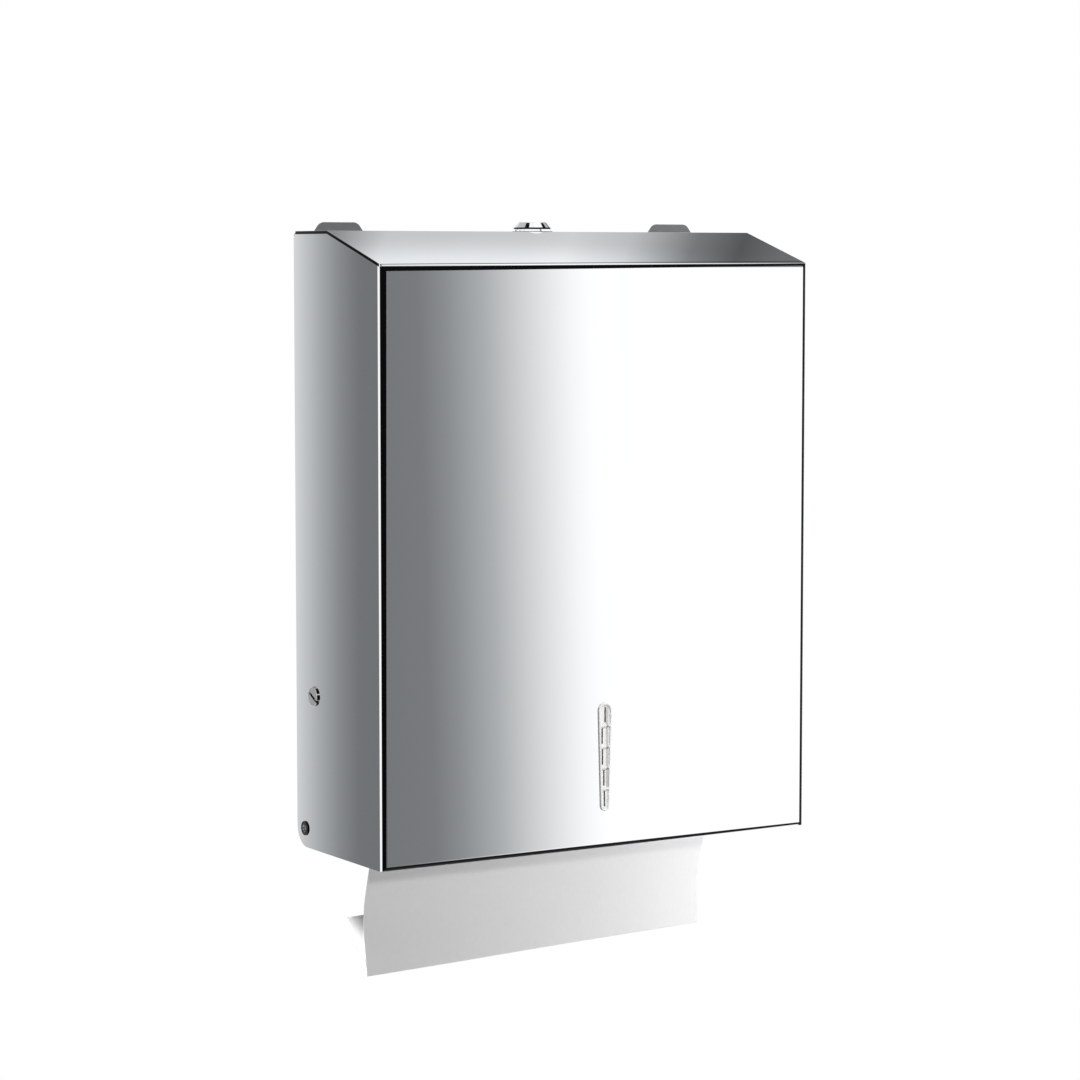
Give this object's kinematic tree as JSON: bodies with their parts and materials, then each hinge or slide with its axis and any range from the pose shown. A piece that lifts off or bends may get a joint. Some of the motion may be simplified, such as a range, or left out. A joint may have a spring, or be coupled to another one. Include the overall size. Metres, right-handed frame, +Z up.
{
  "type": "paper towel dispenser",
  "caption": "Wall-mounted locking dispenser for folded paper towels: bent mirror-steel cover that swings down on bottom pins, sight window, top lock, inner tray and hanging towel.",
  "frame": {"origin": "middle of the wall-screw pattern, on the rear face of the back plate", "axes": "+X to the right seen from the front, +Y into the wall, +Z up; the front faces -Y"},
  "size_m": [0.2774, 0.1009, 0.4165],
  "materials": {
    "mirror_steel": "mirror-polished stainless steel",
    "satin_steel": "satin stainless steel sheet",
    "rivet_steel": "plain steel rivets",
    "dark_steel": "blackened steel",
    "screw_steel": "polished steel screw",
    "zinc_steel": "bright zinc-plated steel",
    "lock_chrome": "chrome plate",
    "clear_plastic": "clear moulded plastic",
    "nylon": "natural nylon",
    "gasket_rubber": "black rubber",
    "towel_paper": "white embossed paper"
  },
  "bodies": {
    "chassis": {"back_plate": "satin_steel", "left_cheek": "satin_steel", "right_cheek": "satin_steel", "towel_tray": "satin_steel", "lock_keeper": "satin_steel", "cheek_rivets": "rivet_steel", "keeper_rivets": "rivet_steel", "tray_rivets": "rivet_steel", "hinge_pin_left": "dark_steel", "hinge_pin_right": "dark_steel", "hinge_washers": "nylon", "towel_stack": "towel_paper"},
    "cover": {"cover_shell": "mirror_steel", "sight_window": "clear_plastic", "stop_screw_left": "screw_steel", "stop_screw_right": "screw_steel", "stop_bush_left": "nylon", "stop_bush_right": "nylon", "stop_washers": "zinc_steel", "stop_nuts": "zinc_steel", "lock_gasket": "gasket_rubber", "lock_housing": "lock_chrome", "lock_washer": "zinc_steel", "lock_nut": "zinc_steel"},
    "lock": {"lock_plug": "lock_chrome", "lock_cam": "zinc_steel", "cam_screw": "zinc_steel"},
    "towel": {"leading_towel": "towel_paper"}
  },
  "joints": [
    {"name": "cover_hinge", "type": "hinge", "parent": "chassis", "child": "cover", "pos_m": [0, -0.0104, -0.1595], "axis": [1, 0, 0], "range_deg": [0, 45]},
    {"name": "lock_turn", "type": "hinge", "parent": "cover", "child": "lock", "pos_m": [0, -0.026, 0.17], "axis": [0, 0, 1], "range_deg": [0, 90]},
    {"name": "towel_pull", "type": "slide", "parent": "chassis", "child": "towel", "axis": [0, 0, -1], "range_m": [0, 0.025]}
  ]
}
